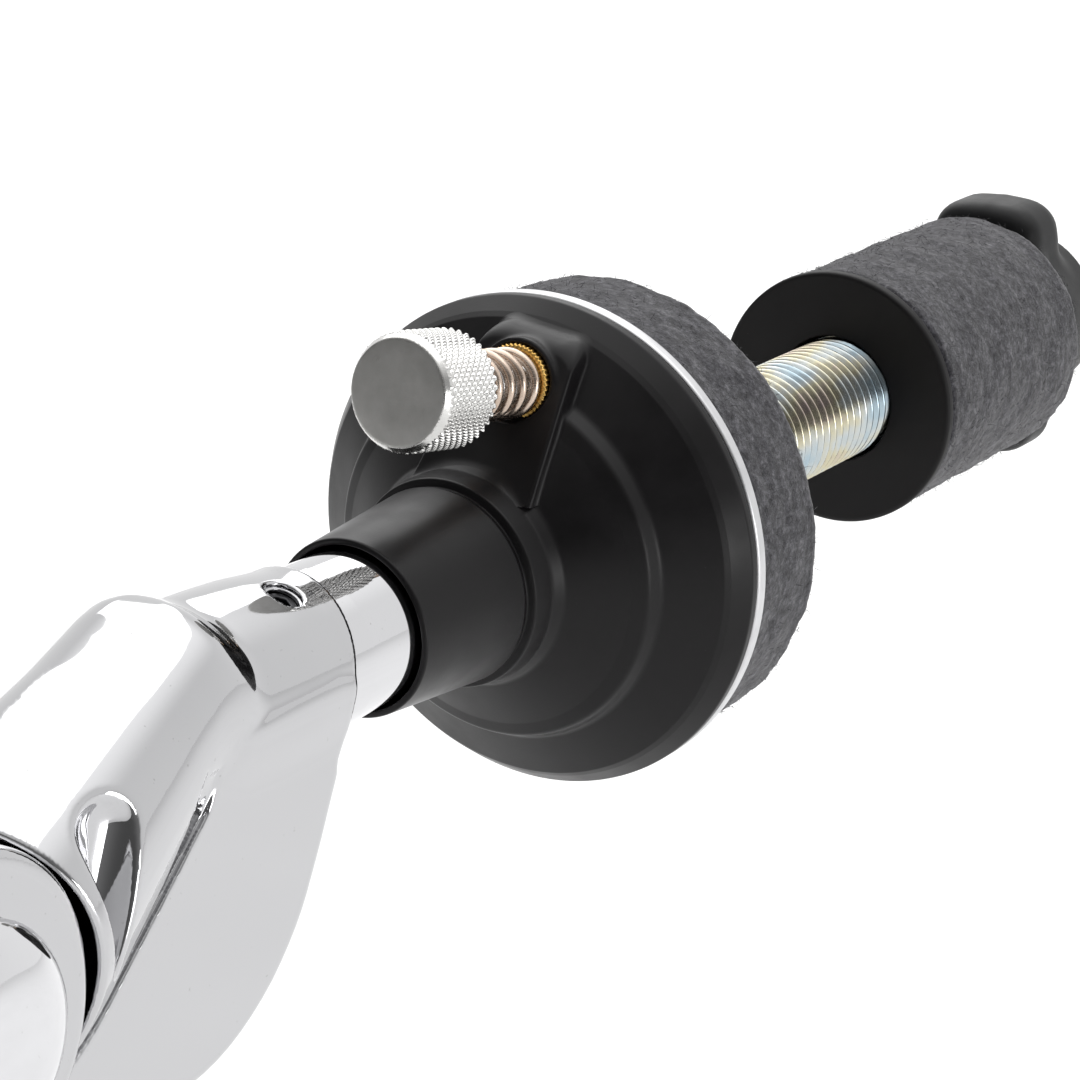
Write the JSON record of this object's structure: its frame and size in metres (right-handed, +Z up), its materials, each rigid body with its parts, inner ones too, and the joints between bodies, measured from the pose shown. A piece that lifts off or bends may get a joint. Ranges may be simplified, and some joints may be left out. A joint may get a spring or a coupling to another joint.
{
  "type": "closed hi-hat cymbal holder",
  "caption": "Arm with a tilting chrome head, a level threaded rod, a tiltable cymbal seat with felt, and an upper felt pressed down by a wing nut.",
  "frame": {"origin": "centre of the arm's lower end, where a stand or clamp takes the arm", "axes": "+Z up along the arm; +Y level along the threaded rod towards its wing nut; +X to the right, along the tilt pivot towards the bolt's head"},
  "size_m": [0.0489, 0.2032, 0.1644],
  "materials": {
    "chrome_tube": "polished chrome plating",
    "cap_plastic": "matt moulded black plastic",
    "chrome_casting": "mirror chrome over a die casting",
    "black_steel": "black oxide steel",
    "chrome_bolt": "polished chrome plating",
    "friction_nylon": "matt grey nylon",
    "plated_steel": "bright zinc-plated steel",
    "chrome_wing": "polished chrome plating",
    "zinc_thread": "bright zinc plating with a faint yellow tint",
    "cup_plastic": "satin moulded black plastic",
    "brass": "turned brass",
    "spring_wire": "copper-toned bright wire",
    "knob_steel": "bright diamond knurl with a satin end face",
    "plate_steel": "satin white-silver plated sheet",
    "grey_felt": "dense heathered charcoal felt",
    "washer_plastic": "smooth black sheet plastic",
    "nut_plastic": "satin moulded black plastic"
  },
  "bodies": {
    "arm": {"arm_tube": "chrome_tube", "arm_end_cap": "cap_plastic", "tilter_base": "chrome_casting", "base_clamp_screw": "black_steel", "pivot_bolt": "chrome_bolt", "friction_disc_left": "friction_nylon", "friction_disc_right": "friction_nylon"},
    "pivot_collar": {"pivot_washer": "plated_steel"},
    "pivot_nut": {"pivot_wing_nut": "chrome_wing"},
    "head": {"tilter_body": "chrome_casting", "rod_set_screw": "black_steel", "rod_collar": "chrome_tube", "threaded_rod": "zinc_thread", "seat_cup": "cup_plastic", "seat_lock_nut": "plated_steel", "brass_insert": "brass", "tilt_spring": "spring_wire"},
    "screw_collar": {"tilt_washer": "plated_steel"},
    "thumbscrew": {"tilt_knob": "knob_steel", "tilt_screw": "plated_steel"},
    "seat": {"tilt_plate": "plate_steel", "lower_felt": "grey_felt"},
    "clamp": {"upper_washer": "washer_plastic", "upper_felt": "grey_felt"},
    "clamp_nut": {"wing_nut": "nut_plastic", "wing_nut_insert": "plated_steel"}
  },
  "joints": [
    {"name": "head_tilt", "type": "hinge", "parent": "arm", "child": "head", "pos_m": [0, 0, 0.13], "axis": [1, 0, 0], "range_deg": [-10, 95]},
    {"name": "pivot_nut_travel", "type": "slide", "parent": "arm", "child": "pivot_collar", "axis": [-1, 0, 0], "range_m": [0, 0.0025]},
    {"name": "pivot_nut_spin", "type": "hinge", "parent": "pivot_collar", "child": "pivot_nut", "pos_m": [-0.0175, 0, 0.13], "axis": [-1, 0, 0], "range_deg": [0, 722]},
    {"name": "tilt_screw_travel", "type": "slide", "parent": "head", "child": "screw_collar", "axis": [-0.0271, 0.9826, -0.1837], "range_m": [0, 0.0042], "deforming": ["tilt_spring"]},
    {"name": "tilt_screw_spin", "type": "hinge", "parent": "screw_collar", "child": "thumbscrew", "pos_m": [0.00241, 0.0798, 0.15628], "axis": [-0.0271, 0.9826, -0.1837], "range_deg": [0, 2165]},
    {"name": "seat_tilt", "type": "hinge", "parent": "head", "child": "seat", "pos_m": [0, 0.0875, 0.12], "axis": [-1, 0, 0], "range_deg": [0, 6.5]},
    {"name": "clamp_travel", "type": "slide", "parent": "head", "child": "clamp", "axis": [0, 1, 0], "range_m": [-0.02, 0.00125]},
    {"name": "clamp_nut_spin", "type": "hinge", "parent": "clamp", "child": "clamp_nut", "pos_m": [0, 0.1782, 0.14], "axis": [0, 1, 0], "range_deg": [-5765, 362]}
  ],
  "couplings": [
    {"joint": "pivot_nut_spin", "follows": "pivot_nut_travel", "rad_per_m": 5026.5},
    {"joint": "tilt_screw_spin", "follows": "tilt_screw_travel", "rad_per_m": 8976},
    {"joint": "seat_tilt", "follows": "tilt_screw_travel", "rad_per_m": 26.596},
    {"joint": "clamp_nut_spin", "follows": "clamp_travel", "rad_per_m": 5026.5}
  ]
}
